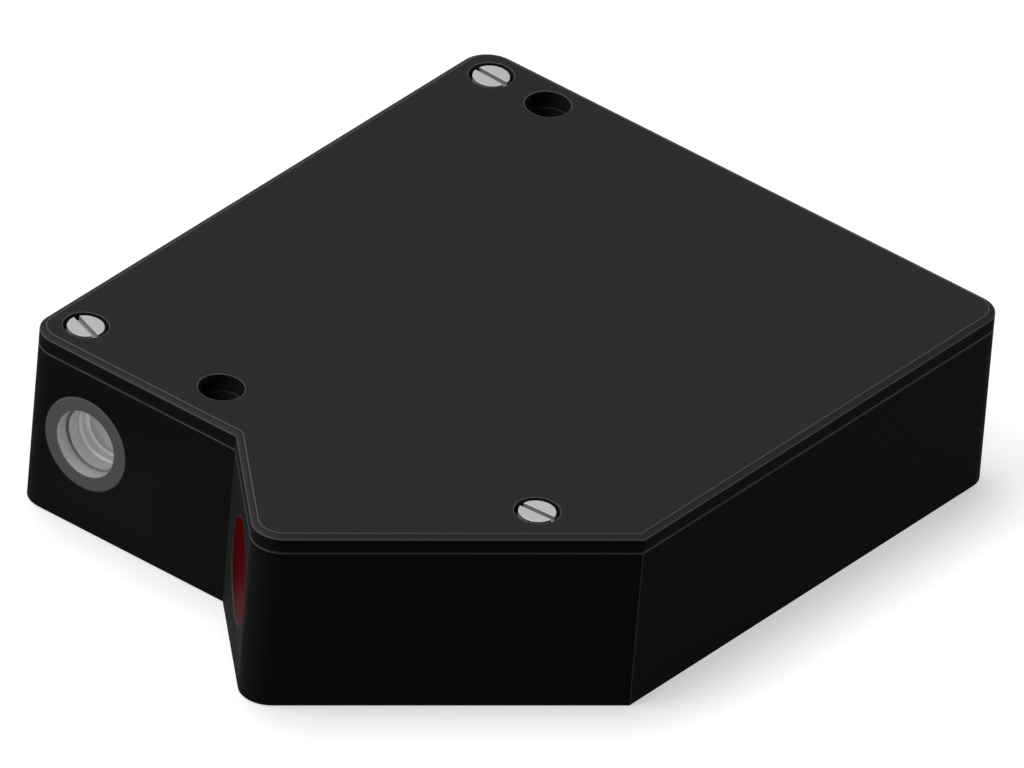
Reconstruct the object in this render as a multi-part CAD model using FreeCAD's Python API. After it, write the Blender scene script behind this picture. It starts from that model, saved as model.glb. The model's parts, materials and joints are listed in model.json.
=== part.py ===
import FreeCAD, Part
import math
import os

# A laser triangulation displacement sensor.
# A flat milled aluminium housing holds a laser that shines forwards through a bezel, and a receiver that
# looks at the laser spot from the side, through a red filter window in the slanted face of the nose.
# The receiver images the beam on a tilted detector, and a board in the rear bay reads it out.
#
# Lengths are millimetres and angles are degrees.
# The plan is drawn from the corner where the left wall meets the laser face: X runs from the laser side to
# the receiver side, Y from the laser face to the rear wall, and Z up from the base.
# At the end every piece moves, so that the origin lies in the base under the middle of the whole sensor.

# Body plan
body_width = 100.0
body_length = 107.8
body_height = 30.0
laser_face_width = 40.0
window_face_width = 27.2
receiver_angle = 45.0
corner_radius = 4.6
edge_break = 0.15

# Housing walls and pocket
wall_thickness = 4.5
laser_wall = 16.0
window_wall = 17.0
floor_thickness = 3.0
pocket_cutter_radius = 3.0

# Lid and its seal
lid_thickness = 2.9
lid_chamfer_width = 1.0
lid_chamfer_angle = 30.0
gasket_land = 0.7
gasket_width = 1.4
gasket_depth = 1.0
gasket_clearance = 0.05

# Cover screws, slotted cheese heads sunk in the lid
cover_screw_inset = 6.0
cover_screw_from_laser_face = 6.4
nose_screw_inset = 7.0
nose_screw_along = 42.5
cover_head_diameter = 5.66
cover_head_height = 1.75
cover_head_recess = 0.1
cover_seat_diameter = 6.9
cover_screw_diameter = 3.0
cover_screw_length = 7.0
cover_slot_width = 0.9
cover_slot_depth = 0.8
cover_slot_angles = (-2.5, -21.0, 4.0)
cover_boss_radius = 4.2

# Mounting holes, right through lid and housing
mounting_hole_diameter = 7.0
front_hole_from_left = 30.7
front_hole_from_laser_face = 7.9
rear_hole_from_left = 17.0
rear_hole_from_rear = 6.1
mounting_hole_land = 2.7

# Clearances shared by all the pieces
fit_clearance = 0.05
thread_clearance = 0.05
screw_clearance = 0.2
tap_run_out = 1.0

# Laser side, on the beam axis
laser_inset = 12.4
optical_height = 14.9
bezel_diameter = 15.2
bezel_bore = 10.8
bezel_depth = 2.3
laser_barrel_diameter = 13.0
laser_barrel_length = 24.0
laser_lens_diameter = 10.0
laser_lens_edge = 2.0
laser_lens_clear_radius = 4.1
laser_lens_setback = 2.2
laser_lock_ring_length = 1.8
laser_lock_ring_wall_radius = 4.6
laser_lock_ring_lip = 0.3
laser_bore_radius = 3.9
diode_holder_length = 2.0
diode_flange_radius = 2.8
diode_flange_thickness = 1.2
diode_cap_radius = 1.8
diode_cap_length = 2.4

# Receiver side, on the axis through the window
window_offset = 13.4
window_diameter = 16.4
window_seat_clearance = 0.1
window_thickness = 2.0
window_recess = 0.1
receiver_barrel_diameter = 14.0
receiver_barrel_length = 18.0
receiver_barrel_gap = 0.6
receiver_lens_setback = 4.0
receiver_lens_diameter = 10.4
receiver_lens_edge = 3.0
receiver_lens_clear_radius = 4.4
receiver_lens_sag = 1.1
receiver_lock_ring_length = 2.0
receiver_focal_length = 16.0
hood_wall = 1.0
hood_sleeve_length = 2.0
hood_mouth_width = 13.0
hood_mouth_height = 5.0
hood_gap = 0.8

# Grub screws that lock the two barrels
grub_diameter = 3.0
grub_recess = 1.5
laser_grub_depth = 11.5
receiver_grub_depth = 12.5

# Detector, its board and its bracket
sensor_length = 15.0
sensor_height = 7.0
sensor_front = 0.6
sensor_back = 1.6
sensor_cavity_length = 12.0
sensor_cavity_height = 3.0
sensor_glass_thickness = 0.5
sensor_glass_margin = 0.8
detector_board_width = 18.0
detector_board_bottom = 8.0
board_thickness = 1.6
upright_board_clearance = 2.7
bracket_width = 12.0
bracket_thickness = 2.5
bracket_drop = 2.5
bracket_foot = 10.0

# Main board in the rear bay, on a ledge along each side wall
board_side_margin = 3.5
board_front_margin = 5.5
board_rear_margin = 13.3
board_ledge_height = 5.0
board_ledge_overlap = 3.0

# Rear connector, a round panel plug with contact pins
connector_from_right = 30.0
connector_height = 15.0
connector_thread_diameter = 12.0
connector_reach = 8.0
connector_flange_radius = 8.0
connector_flange_thickness = 2.0
connector_bore_radius = 4.7
connector_past_nut = 1.0
connector_nut_across_flats = 15.0
connector_nut_thickness = 3.0
connector_key_width = 1.2
connector_key_height = 0.6
insert_setback = 7.0
insert_tail = 1.0
contact_count = 4
contact_circle_radius = 3.5
contact_radius = 0.5
contact_reach = 5.5
contact_board_side = 14.0
contact_board_thickness = 1.2

# Flat printed leads from the small boards to the main board
flex_thickness = 0.3
flex_width = 6.0
flex_bend = 2.0
laser_lead_offset = 4.5
laser_lead_height = 4.0
detector_lead_offset = -5.5
detector_lead_drop = 1.5
signal_lead_height = 4.5
front_header_inset = 5.0
rear_header_inset = 6.4
header_length = 8.0
header_width = 4.0
header_height = 3.0

# Parts on the main board, placed from its front left corner
processor_place = (40.0, 22.0)
processor_side = 14.0
processor_height = 1.4
interface_places = ((26.0, 38.0), (40.0, 38.0))
chip_length = 9.0
chip_width = 6.0
chip_height = 1.5
inductor_places = ((22.0, 22.0), (22.0, 10.0))
inductor_side = 8.0
inductor_height = 4.0
inductor_chamfer = 1.5
capacitor_places = ((54.0, 12.0), (54.0, 22.0), (54.0, 32.0))
capacitor_length = 7.3
capacitor_width = 4.3
capacitor_height = 4.0

# Values that follow from the sizes above
seam_height = body_height - lid_thickness
board_top = floor_thickness + board_ledge_height + board_thickness
upright_board_top = seam_height - upright_board_clearance - optical_height
turn = math.radians(receiver_angle)
inward_x, inward_y = math.sin(turn), math.cos(turn)
window_x = laser_face_width + window_offset * inward_y
window_y = -window_offset * inward_x
nose_x = laser_face_width + window_face_width * inward_y
nose_y = -window_face_width * inward_x
receiver_side_length = (body_width - nose_x) / inward_x
nose_tip = nose_y + corner_radius * (1 / math.sin(math.pi / 4) - 1)
connector_end = body_length + connector_flange_thickness + connector_reach

# The receiver's optics: thin lens formula, and the tilt that keeps the whole beam in focus
window_seat_depth = window_recess + window_thickness
receiver_start = window_seat_depth + receiver_barrel_gap
receiver_lens_depth = receiver_start + receiver_lens_setback
receiver_ring_depth = receiver_lens_depth + receiver_lens_edge
receiver_end = receiver_start + receiver_barrel_length
lens_plane_depth = (receiver_lens_depth + receiver_ring_depth) / 2
object_distance = (window_x - laser_inset) / inward_x + lens_plane_depth
image_distance = 1 / (1 / receiver_focal_length - 1 / object_distance)
detector_depth = lens_plane_depth + image_distance
detector_tilt = math.degrees(math.atan(image_distance / object_distance / math.tan(turn)))

# The laser's stack along the beam axis, as depths behind the laser face
laser_end = bezel_depth + laser_barrel_length
laser_ring_depth = bezel_depth + laser_lens_setback
laser_lens_depth = laser_ring_depth + laser_lock_ring_length
laser_seat_depth = laser_lens_depth + laser_lens_edge
diode_flange_depth = laser_end - diode_flange_thickness
diode_holder_depth = diode_flange_depth - diode_holder_length
driver_board_rear = laser_end + board_thickness


def vec(x, y, z=0.0):
    return FreeCAD.Vector(x, y, z)


def axis_at(x, y, z, angle):
    """A local frame at a point, whose Y axis is the plan's Y axis turned clockwise by the angle."""
    return FreeCAD.Placement(vec(x, y, z), FreeCAD.Rotation(vec(0, 0, 1), -angle))


# Local frames: depth runs along local Y, into the sensor
laser_axis = axis_at(laser_inset, 0, optical_height, 0)
receiver_axis = axis_at(window_x, window_y, optical_height, receiver_angle)
detector_axis = axis_at(
    window_x + detector_depth * inward_x,
    window_y + detector_depth * inward_y,
    optical_height,
    receiver_angle - detector_tilt,
)
connector_axis = axis_at(body_width - connector_from_right, body_length, connector_height, 180)


def placed(shape, frame):
    """The shape moved from its local frame to the plan."""
    moved = shape.copy()
    moved.Placement = frame.multiply(shape.Placement)
    return moved


def crossing(start, along, other_start, other_along):
    """Plan point where two lines cross."""
    gap = other_start - start
    scale = along.x * other_along.y - along.y * other_along.x
    return start + along * ((gap.x * other_along.y - gap.y * other_along.x) / scale)


def closed(points):
    return points + points[:1]


def inset_corners(corners, walls):
    """Corners of a clockwise outline after each side has moved inwards by its own wall."""
    lines = []
    for i, start in enumerate(corners):
        along = (corners[(i + 1) % len(corners)] - start).normalize()
        lines.append((start + vec(along.y, -along.x) * walls[i], along))
    return [crossing(*lines[i - 1], *lines[i]) for i in range(len(corners))]


def rounded_face(corners, radii):
    """A flat face with straight sides, whose corners are arcs of the given radii or sharp for 0."""
    edges = []
    ends = []
    for i, corner in enumerate(corners):
        back = (corners[i - 1] - corner).normalize()
        ahead = (corners[(i + 1) % len(corners)] - corner).normalize()
        half = back.getAngle(ahead) / 2
        trim = radii[i] / math.tan(half)
        start, end = corner + back * trim, corner + ahead * trim
        if radii[i] > 0:
            middle = corner + (back + ahead).normalize() * (radii[i] / math.sin(half) - radii[i])
            edges.append(Part.Arc(start, middle, end).toShape())
        ends.append((start, end))
    for i, (start, _) in enumerate(ends):
        edges.append(Part.makeLine(ends[i - 1][1], start))
    return Part.Face(Part.Wire(Part.__sortEdges__(edges)))


def disc(x, y, radius):
    return Part.Face(Part.Wire(Part.makeCircle(radius, vec(x, y))))


def grown(face, distance):
    """The face grown by a distance, or shrunk by a negative one, with round corners."""
    return Part.Face(face.makeOffset2D(distance).OuterWire)


def prism(face, low, high):
    """The face carried from one height to another."""
    lifted = face.copy()
    lifted.translate(vec(0, 0, low))
    return lifted.extrude(vec(0, 0, high - low))


def upright(x, y, low, high, radius):
    """A cylinder that stands on the plan."""
    return Part.makeCylinder(radius, high - low, vec(x, y, low))


def block(x_low, x_high, y_low, y_high, z_low, z_high):
    return Part.makeBox(x_high - x_low, y_high - y_low, z_high - z_low, vec(x_low, y_low, z_low))


def turned(profile):
    """A turned piece: a closed profile of depth and radius pairs, spun about the local Y axis."""
    points = [vec(radius, depth) for depth, radius in profile]
    face = Part.Face(Part.makePolygon(closed(points)))
    return face.revolve(vec(0, 0), vec(0, 1), 360)


def tube(depth, length, outer, inner):
    """A turned ring or sleeve with square ends."""
    return turned([(depth, inner), (depth, outer), (depth + length, outer), (depth + length, inner)])


def bar(depth, length, radius, x=0.0, z=0.0):
    """A round bar or hole along the local Y axis."""
    return Part.makeCylinder(radius, length, vec(x, depth, z), vec(0, 1, 0))


def domed_lens(depth, edge, radius, clear_radius, sag):
    """A lens with a flat flange, a flat rear and a domed front."""
    top = depth - sag
    curve = (clear_radius**2 + sag**2) / (2 * sag)
    half_radius = clear_radius / 2
    half_depth = top + curve - math.sqrt(curve**2 - half_radius**2)
    dome = Part.Arc(vec(0, top), vec(half_radius, half_depth), vec(clear_radius, depth)).toShape()
    rear = depth + edge
    rest = [vec(clear_radius, depth), vec(radius, depth), vec(radius, rear), vec(0, rear), vec(0, top)]
    face = Part.Face(Part.Wire([dome] + Part.makePolygon(rest).Edges))
    return face.revolve(vec(0, 0), vec(0, 1), 360)


def quarter_bend(depth, height, radius):
    """A quarter turn in the local YZ plane, from level to straight down, about the given centre."""
    slant = radius * math.sqrt(0.5)
    top, side = vec(0, depth, height + radius), vec(0, depth + radius, height)
    return Part.Arc(top, vec(0, depth + slant, height + slant), side).toShape()


def matching(shape, edges):
    """The shape's own edges that lie where the given edges lie."""
    centres = [edge.CenterOfMass for edge in edges]
    close = edge_break / 10
    found = []
    for edge in shape.Edges:
        if any((edge.CenterOfMass - centre).Length < close for centre in centres):
            found.append(edge)
    return found


def around(count, radius, offset=0.0):
    """Local X and Z of points evenly spaced on a circle."""
    angles = [math.radians(offset + 360 * i / count) for i in range(count)]
    return [(radius * math.cos(angle), radius * math.sin(angle)) for angle in angles]


def funnel(start, start_size, end, end_size):
    """A solid between two upright rectangles, each given by its depth and by its width and height."""
    (width, height), (end_width, end_height) = start_size, end_size
    low_x, low_z, end_low_x, end_low_z = -width / 2, -height / 2, -end_width / 2, -end_height / 2
    return Part.makeWedge(
        low_x, start, low_z, end_low_z, end_low_x, -low_x, end, -low_z, -end_low_z, -end_low_x
    )


def body_corners():
    """Plan corners of the body, clockwise from the one between the left wall and the laser face."""
    side_y = nose_y + receiver_side_length * inward_y
    return [
        vec(0, 0),
        vec(0, body_length),
        vec(body_width, body_length),
        vec(body_width, side_y),
        vec(nose_x, nose_y),
        vec(laser_face_width, 0),
    ]


def body_outline():
    """The outer plan: four rounded corners, with the two beside the nose left sharp."""
    radii = [corner_radius, corner_radius, corner_radius, 0, corner_radius, 0]
    return rounded_face(body_corners(), radii)


def cover_screw_places():
    """Plan points of the cover screws: rear left, laser corner, and beside the receiver's outer wall."""
    rear_y = body_length - cover_screw_inset
    nose_screw_x = nose_x + nose_screw_along * inward_x - nose_screw_inset * inward_y
    nose_screw_y = nose_y + nose_screw_along * inward_y + nose_screw_inset * inward_x
    return [
        (cover_screw_inset, rear_y),
        (cover_screw_inset, cover_screw_from_laser_face),
        (nose_screw_x, nose_screw_y),
    ]


def mounting_hole_places():
    return [
        (front_hole_from_left, front_hole_from_laser_face),
        (rear_hole_from_left, body_length - rear_hole_from_rear),
    ]


def pocket_outline():
    """Plan of the milled pocket: the walls' inner faces, less the bosses, as a round cutter leaves them."""
    walls = [wall_thickness] * 4 + [window_wall, laser_wall]
    region = Part.Face(Part.makePolygon(closed(inset_corners(body_corners(), walls))))
    land = mounting_hole_diameter / 2 + mounting_hole_land
    (front_x, front_y), (rear_x, rear_y) = mounting_hole_places()
    rear_block = Part.makePlane(rear_x + land, body_length - rear_y + land, vec(0, rear_y - land))
    bosses = [disc(x, y, cover_boss_radius) for x, y in cover_screw_places()]
    region = region.cut(bosses + [disc(front_x, front_y, land), rear_block])
    path = region.Faces[0].makeOffset2D(-pocket_cutter_radius)
    return grown(path, pocket_cutter_radius)


pocket_face = pocket_outline()


def band(inner_offset, outer_offset, low, high):
    """A wall that follows the pocket's outline between two offsets from it."""
    ring = grown(pocket_face, outer_offset).cut(grown(pocket_face, inner_offset))
    return prism(ring.Faces[0], low, high)


def main_board_bounds():
    """Plan rectangle of the main board, behind the driver board and the detector's bracket."""
    left = wall_thickness + board_side_margin
    bracket_rear = sensor_back + board_thickness + bracket_foot
    bracket_corner = detector_axis.multVec(vec(-bracket_width / 2, bracket_rear))
    front = max(driver_board_rear, bracket_corner.y) + board_front_margin
    return left, body_width - left, front, body_length - wall_thickness - board_rear_margin


def board_ledges():
    """The two ledges that carry the main board, from each side wall to a little under its edge."""
    left, right, front, rear = main_board_bounds()
    top = floor_thickness + board_ledge_height
    return [
        block(0, left + board_ledge_overlap, front, rear, floor_thickness, top),
        block(right - board_ledge_overlap, body_width, front, rear, floor_thickness, top),
    ]


def grub_hole(depth):
    """Tapped hole from the top of a wall down into the bore below it, in the bore's own frame."""
    return upright(0, depth, 0, seam_height + 1 - optical_height, grub_diameter / 2 + thread_clearance)


def housing_holes():
    """Everything drilled or bored in the housing."""
    laser_bore = bar(-1, laser_wall + 2, laser_barrel_diameter / 2 + fit_clearance)
    bezel_seat = bar(-1, bezel_depth + 1, bezel_diameter / 2 + fit_clearance)
    receiver_bore = bar(-1, window_wall + 2, receiver_barrel_diameter / 2 + fit_clearance)
    window_seat = bar(-1, window_seat_depth + 1, window_diameter / 2 + window_seat_clearance)
    connector_hole = bar(-1, wall_thickness + 2, connector_thread_diameter / 2 + fit_clearance)
    holes = [
        placed(laser_bore, laser_axis),
        placed(bezel_seat, laser_axis),
        placed(grub_hole(laser_grub_depth), laser_axis),
        placed(receiver_bore, receiver_axis),
        placed(window_seat, receiver_axis),
        placed(grub_hole(receiver_grub_depth), receiver_axis),
        placed(connector_hole, connector_axis),
    ]
    for x, y in mounting_hole_places():
        holes.append(upright(x, y, -1, body_height, mounting_hole_diameter / 2))
    cover_tip = cover_seat_height() - cover_screw_length - tap_run_out
    for x, y in cover_screw_places():
        holes.append(upright(x, y, cover_tip, body_height, cover_screw_diameter / 2 + thread_clearance))
    return holes


def cover_seat_height():
    """Height of the shoulder in the lid that a cover screw's head rests on."""
    return body_height - cover_head_recess - cover_head_height


def make_housing():
    """Milled from one block: the pocket with its ledges, the bores and the groove for the seal."""
    shell = prism(body_outline(), 0, seam_height)
    rims = [edge for edge in shell.Edges if abs(edge.BoundBox.ZLength) < edge_break]
    shell = shell.makeChamfer(edge_break, rims)
    pocket = prism(pocket_face, floor_thickness, seam_height + 1)
    ledges = [ledge.common(pocket) for ledge in board_ledges()]
    housing = shell.cut(pocket).fuse(ledges).removeSplitter()
    groove = band(gasket_land, gasket_land + gasket_width, seam_height - gasket_depth, seam_height + 1)
    return housing.cut(housing_holes() + [groove])


def make_lid():
    """Plate with a shallow chamfer round its top, and a well for the head of each cover screw."""
    plate = prism(body_outline(), seam_height, body_height)
    top_edges = [edge for edge in plate.Edges if edge.BoundBox.ZMin > body_height - edge_break]
    bottom_edges = [edge for edge in plate.Edges if edge.BoundBox.ZMax < seam_height + edge_break]
    drop = lid_chamfer_width * math.tan(math.radians(lid_chamfer_angle))
    plate = plate.makeChamfer(drop, lid_chamfer_width, top_edges)
    plate = plate.makeChamfer(edge_break, matching(plate, bottom_edges))
    cuts = []
    seat = cover_seat_height()
    for x, y in cover_screw_places():
        cuts.append(upright(x, y, seat, body_height + 1, cover_seat_diameter / 2))
        cuts.append(upright(x, y, seam_height - 1, seat, cover_screw_diameter / 2 + screw_clearance))
    for x, y in mounting_hole_places():
        cuts.append(upright(x, y, seam_height - 1, body_height + 1, mounting_hole_diameter / 2))
    return plate.cut(cuts)


def make_lid_gasket():
    """Cord seal, flush with the housing's rim when the lid is down."""
    inner = gasket_land + gasket_clearance
    outer = gasket_land + gasket_width - gasket_clearance
    return band(inner, outer, seam_height - gasket_depth, seam_height)


def make_cover_screws():
    """Cheese head screws, each with its slot where it happened to stop."""
    screws = []
    for (x, y), angle in zip(cover_screw_places(), cover_slot_angles):
        radius = cover_head_diameter / 2
        head = Part.makeCylinder(radius, cover_head_height)
        slot_floor = cover_head_height - cover_slot_depth
        half = cover_slot_width / 2
        slot = block(-radius - 1, radius + 1, -half, half, slot_floor, cover_head_height + 1)
        shank = upright(0, 0, -cover_screw_length, 0, cover_screw_diameter / 2)
        screw = head.cut(slot).fuse(shank).removeSplitter()
        screws.append(placed(screw, axis_at(x, y, cover_seat_height(), -angle)))
    return Part.makeCompound(screws)


def make_laser_bezel():
    return placed(tube(0, bezel_depth, bezel_diameter / 2, bezel_bore / 2), laser_axis)


def make_laser_barrel():
    """Turned barrel: a wide bore for lens and lock ring at the front, and a clear bore to the diode."""
    outer = laser_barrel_diameter / 2
    lens_bore = laser_lens_diameter / 2 + fit_clearance
    profile = [
        (bezel_depth, lens_bore),
        (bezel_depth, outer),
        (laser_end, outer),
        (laser_end, laser_bore_radius),
        (laser_seat_depth, laser_bore_radius),
        (laser_seat_depth, lens_bore),
    ]
    return placed(turned(profile), laser_axis)


def make_laser_lock_ring():
    """Threaded ring that holds the laser's lens by an inner lip."""
    outer = laser_lens_diameter / 2
    lip_start = laser_lens_depth - laser_lock_ring_lip
    profile = [
        (laser_ring_depth, laser_lock_ring_wall_radius),
        (laser_ring_depth, outer),
        (laser_lens_depth, outer),
        (laser_lens_depth, laser_lens_clear_radius),
        (lip_start, laser_lens_clear_radius),
        (lip_start, laser_lock_ring_wall_radius),
    ]
    return placed(turned(profile), laser_axis)


def make_collimating_lens():
    """Lens with its flat side out, on its seat in the barrel."""
    return placed(bar(laser_lens_depth, laser_lens_edge, laser_lens_diameter / 2), laser_axis)


def make_diode_holder():
    """Ring in the barrel's rear that centres the laser diode by its cap."""
    outer = laser_bore_radius - fit_clearance
    inner = diode_cap_radius + fit_clearance
    return placed(tube(diode_holder_depth, diode_holder_length, outer, inner), laser_axis)


def make_laser_diode():
    """Metal can diode: its flange lies between the holder and the driver board, its cap points forwards."""
    flange = bar(diode_flange_depth, diode_flange_thickness, diode_flange_radius)
    cap = bar(diode_flange_depth - diode_cap_length, diode_cap_length, diode_cap_radius)
    return placed(flange.fuse(cap).removeSplitter(), laser_axis)


def make_laser_driver_board():
    """Upright board against the rear of the laser barrel."""
    side = laser_inset - wall_thickness - fit_clearance
    low = floor_thickness - optical_height
    return placed(block(-side, side, laser_end, driver_board_rear, low, upright_board_top), laser_axis)


def make_receiver_window():
    """Red filter glass, a hair below the face it sits in."""
    return placed(bar(window_recess, window_thickness, window_diameter / 2), receiver_axis)


def make_receiver_barrel():
    """Turned barrel: a clear bore in front of the lens, and a wide bore for lens and lock ring."""
    outer = receiver_barrel_diameter / 2
    bore = receiver_lens_diameter / 2 + fit_clearance
    front_bore = receiver_lens_clear_radius + fit_clearance
    profile = [
        (receiver_start, front_bore),
        (receiver_start, outer),
        (receiver_end, outer),
        (receiver_end, bore),
        (receiver_lens_depth, bore),
        (receiver_lens_depth, front_bore),
    ]
    return placed(turned(profile), receiver_axis)


def make_receiver_front_lens():
    radius = receiver_lens_diameter / 2
    clear = receiver_lens_clear_radius
    lens = domed_lens(receiver_lens_depth, receiver_lens_edge, radius, clear, receiver_lens_sag)
    return placed(lens, receiver_axis)


def make_receiver_lock_ring():
    outer = receiver_lens_diameter / 2
    inner = receiver_lens_clear_radius
    return placed(tube(receiver_ring_depth, receiver_lock_ring_length, outer, inner), receiver_axis)


def make_light_hood():
    """Square hood over the barrel's end that narrows towards the detector and keeps stray light out."""
    bore = receiver_barrel_diameter + 2 * fit_clearance
    outer = bore + 2 * hood_wall
    mouth_half = hood_mouth_width / 2 + hood_wall
    tilt_shift = mouth_half * math.tan(math.radians(detector_tilt))
    glass_front = (sensor_front + sensor_glass_thickness) / math.cos(math.radians(detector_tilt))
    mouth_depth = detector_depth - glass_front - tilt_shift - hood_gap
    mouth = (hood_mouth_width, hood_mouth_height)
    mouth_outer = (hood_mouth_width + 2 * hood_wall, hood_mouth_height + 2 * hood_wall)
    sleeve_start = receiver_end - hood_sleeve_length
    sleeve = block(-outer / 2, outer / 2, sleeve_start, receiver_end, -outer / 2, outer / 2)
    sleeve_bore = block(-bore / 2, bore / 2, sleeve_start, receiver_end, -bore / 2, bore / 2)
    taper = funnel(receiver_end, (outer, outer), mouth_depth, mouth_outer)
    taper_bore = funnel(receiver_end, (bore, bore), mouth_depth, mouth)
    hood = sleeve.fuse(taper).cut(sleeve_bore.fuse(taper_bore)).removeSplitter()
    return placed(hood, receiver_axis)


def make_grub_screws():
    """One above each bore, its flat tip on the barrel."""
    screws = []
    top = seam_height - grub_recess - optical_height
    for frame, depth, barrel in (
        (laser_axis, laser_grub_depth, laser_barrel_diameter),
        (receiver_axis, receiver_grub_depth, receiver_barrel_diameter),
    ):
        screws.append(placed(upright(0, depth, barrel / 2, top, grub_diameter / 2), frame))
    return Part.makeCompound(screws)


def make_image_sensor():
    """Long ceramic package, with its light-sensitive strip in the image plane on the cavity's floor."""
    half_length, half_height = sensor_length / 2, sensor_height / 2
    package = block(-half_length, half_length, -sensor_front, sensor_back, -half_height, half_height)
    half_length, half_height = sensor_cavity_length / 2, sensor_cavity_height / 2
    cavity = block(-half_length, half_length, -sensor_front - 1, 0, -half_height, half_height)
    return placed(package.cut(cavity), detector_axis)


def make_sensor_cover_glass():
    half_length = sensor_cavity_length / 2 + sensor_glass_margin
    half_height = sensor_cavity_height / 2 + sensor_glass_margin
    front = -sensor_front - sensor_glass_thickness
    glass = block(-half_length, half_length, front, -sensor_front, -half_height, half_height)
    return placed(glass, detector_axis)


def make_detector_board():
    side = detector_board_width / 2
    rear = sensor_back + board_thickness
    board = block(-side, side, sensor_back, rear, -detector_board_bottom, upright_board_top)
    return placed(board, detector_axis)


def make_detector_bracket():
    """Angle bracket: an upright plate behind the detector board, and a foot on the floor."""
    side = bracket_width / 2
    front = sensor_back + board_thickness
    low = floor_thickness - optical_height
    plate = block(-side, side, front, front + bracket_thickness, low, upright_board_top - bracket_drop)
    foot = block(-side, side, front, front + bracket_foot, low, low + bracket_thickness)
    return placed(plate.fuse(foot).removeSplitter(), detector_axis)


def make_main_board():
    left, right, front, rear = main_board_bounds()
    return block(left, right, front, rear, board_top - board_thickness, board_top)


def lead_frames():
    """Local frames of the flat leads, on the board face each one leaves, and its run to its header."""
    _, _, board_front, board_rear = main_board_bounds()
    front_row = board_front + front_header_inset
    rear_row = board_rear - rear_header_inset
    detector_start = sensor_back + board_thickness
    detector_height = upright_board_top - detector_lead_drop
    contact_start = contact_board_depth() + contact_board_thickness
    starts = (
        (laser_axis, laser_lead_offset, driver_board_rear, laser_lead_height, front_row),
        (detector_axis, detector_lead_offset, detector_start, detector_height, front_row),
        (connector_axis, 0, contact_start, signal_lead_height, rear_row),
    )
    frames = []
    for axis, offset, depth, height, row in starts:
        frame = axis.multiply(FreeCAD.Placement(vec(offset, depth, height), FreeCAD.Rotation()))
        along = frame.Rotation.multVec(vec(0, 1))
        frames.append((frame, (row - frame.Base.y) / along.y))
    return frames


def make_flat_lead(number):
    """A flat printed lead: straight out of one board, then bent down into the header on the main board."""
    frame, reach = lead_frames()[number]
    bend = reach - flex_bend
    foot = board_top + header_height - frame.Base.z
    spine = [
        Part.makeLine(vec(0, 0), vec(0, bend)),
        quarter_bend(bend, -flex_bend, flex_bend),
        Part.makeLine(vec(0, reach, -flex_bend), vec(0, reach, foot)),
    ]
    outer_reach = flex_bend + flex_thickness
    over = [
        Part.makeLine(vec(0, 0, flex_thickness), vec(0, bend, flex_thickness)),
        quarter_bend(bend, -flex_bend, outer_reach),
        Part.makeLine(vec(0, reach + flex_thickness, -flex_bend), vec(0, reach + flex_thickness, foot)),
    ]
    ends = [
        Part.makeLine(vec(0, 0), vec(0, 0, flex_thickness)),
        Part.makeLine(vec(0, reach, foot), vec(0, reach + flex_thickness, foot)),
    ]
    side = Part.Face(Part.Wire(Part.__sortEdges__(spine + over + ends)))
    lead = side.extrude(vec(flex_width, 0, 0))
    lead.translate(vec(-flex_width / 2, 0, 0))
    return placed(lead, frame)


def make_board_headers():
    """Sockets on the main board, one under the end of each flat lead."""
    headers = []
    for frame, reach in lead_frames():
        middle = reach + flex_thickness / 2
        low = board_top - frame.Base.z
        high = low + header_height
        half_length, half_width = header_length / 2, header_width / 2
        header = block(-half_length, half_length, middle - half_width, middle + half_width, low, high)
        headers.append(placed(header, frame))
    return Part.makeCompound(headers)


def on_board(place, length, width, height):
    """A block on the main board, centred on a place measured from the board's front left corner."""
    left, _, front, _ = main_board_bounds()
    shape = block(-length / 2, length / 2, -width / 2, width / 2, board_top, board_top + height)
    shape.translate(vec(left + place[0], front + place[1]))
    return shape


def make_processor_chip():
    return on_board(processor_place, processor_side, processor_side, processor_height)


def make_interface_chips():
    chips = [on_board(place, chip_length, chip_width, chip_height) for place in interface_places]
    return Part.makeCompound(chips)


def make_power_inductors():
    """Square cores with chamfered upright edges."""
    cores = []
    for place in inductor_places:
        core = on_board(place, inductor_side, inductor_side, inductor_height)
        upright_edges = [edge for edge in core.Edges if edge.BoundBox.ZLength > inductor_height / 2]
        cores.append(core.makeChamfer(inductor_chamfer, upright_edges))
    return Part.makeCompound(cores)


def make_filter_capacitors():
    """Moulded block capacitors."""
    blocks = []
    for place in capacitor_places:
        blocks.append(on_board(place, capacitor_width, capacitor_length, capacitor_height))
    return Part.makeCompound(blocks)


def connector_inner_end():
    return wall_thickness + connector_nut_thickness + connector_past_nut


def contact_board_depth():
    return connector_inner_end() + insert_tail


def make_connector_shell():
    """Panel connector body: threaded outside, flange on the rear wall, socket bore with a key rib."""
    thread = connector_thread_diameter / 2
    outer_end = -connector_flange_thickness - connector_reach
    inner_end = connector_inner_end()
    profile = [
        (outer_end, connector_bore_radius),
        (outer_end, thread),
        (-connector_flange_thickness, thread),
        (-connector_flange_thickness, connector_flange_radius),
        (0, connector_flange_radius),
        (0, thread),
        (inner_end, thread),
        (inner_end, connector_bore_radius),
    ]
    key_low = connector_bore_radius - connector_key_height
    key_half = connector_key_width / 2
    key_end = outer_end + insert_setback
    key = block(-key_half, key_half, outer_end, key_end, key_low, connector_bore_radius + fit_clearance)
    return placed(turned(profile).fuse(key).removeSplitter(), connector_axis)


def make_connector_nut():
    """Hexagon nut on the inner face of the rear wall."""
    corner_reach = connector_nut_across_flats / math.sqrt(3)
    corners = [vec(x, wall_thickness, z) for x, z in around(6, corner_reach)]
    hexagon = Part.Face(Part.makePolygon(closed(corners))).extrude(vec(0, connector_nut_thickness))
    bore = connector_thread_diameter / 2 + thread_clearance
    return placed(hexagon.cut(bar(wall_thickness - 1, connector_nut_thickness + 2, bore)), connector_axis)


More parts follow.
